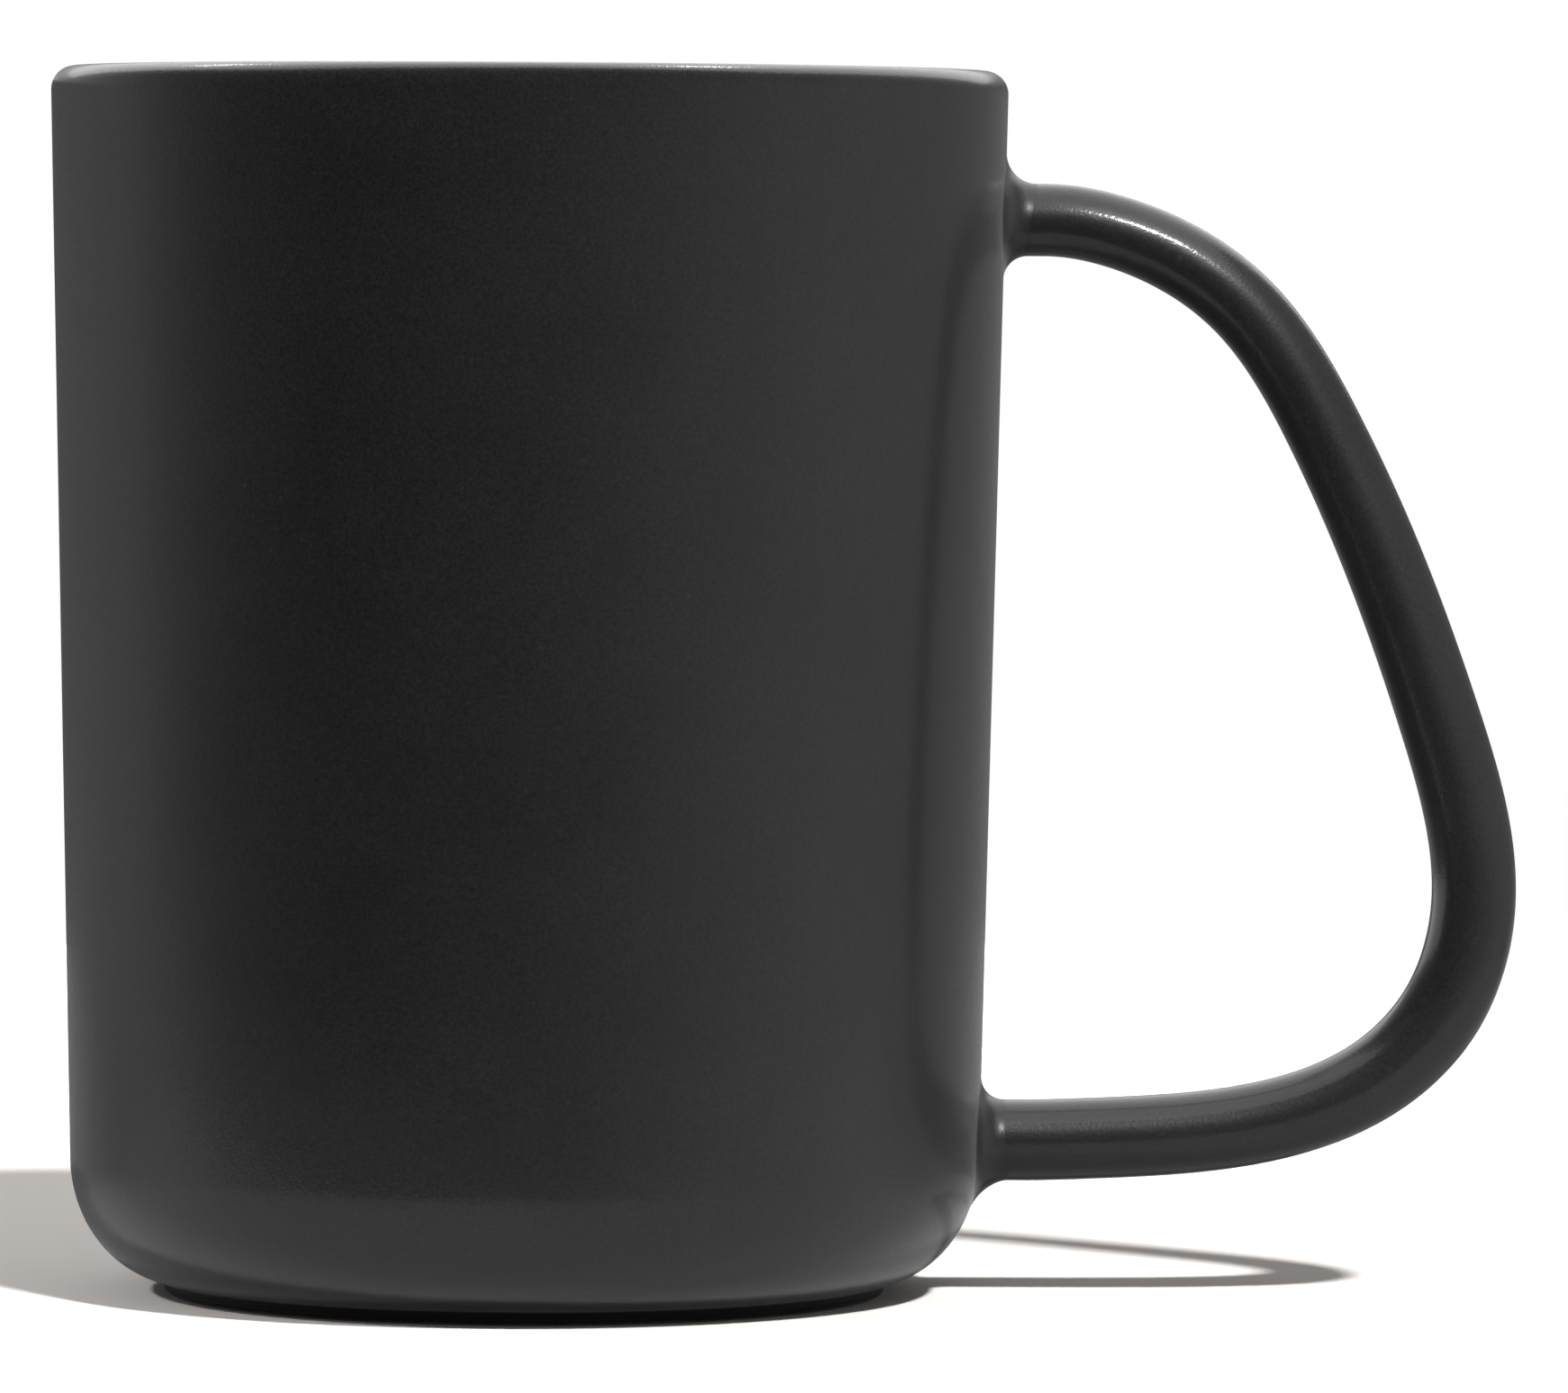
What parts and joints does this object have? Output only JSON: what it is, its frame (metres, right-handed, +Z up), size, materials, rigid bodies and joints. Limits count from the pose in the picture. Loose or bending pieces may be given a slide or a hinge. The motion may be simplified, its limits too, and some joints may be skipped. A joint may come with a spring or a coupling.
{
  "type": "ceramic mug",
  "caption": "Tall, slightly tapered stoneware mug with a rounded heel, a low foot ring and a large loop handle bent from a round bar.",
  "frame": {"origin": "on the plane that the mug stands on, under the middle of its box, handle included", "axes": "+Z up along the cup's axis, +X from the cup's axis out through the handle, +Y across the handle's plane"},
  "size_m": [0.132, 0.0858, 0.11],
  "materials": {
    "cup_glaze": "satin",
    "handle_glaze": "satin",
    "joint_glaze": "satin"
  },
  "bodies": {
    "root": {"cup_body": "cup_glaze", "handle": "handle_glaze", "upper_slip_joint": "joint_glaze", "lower_slip_joint": "joint_glaze"}
  },
  "joints": []
}
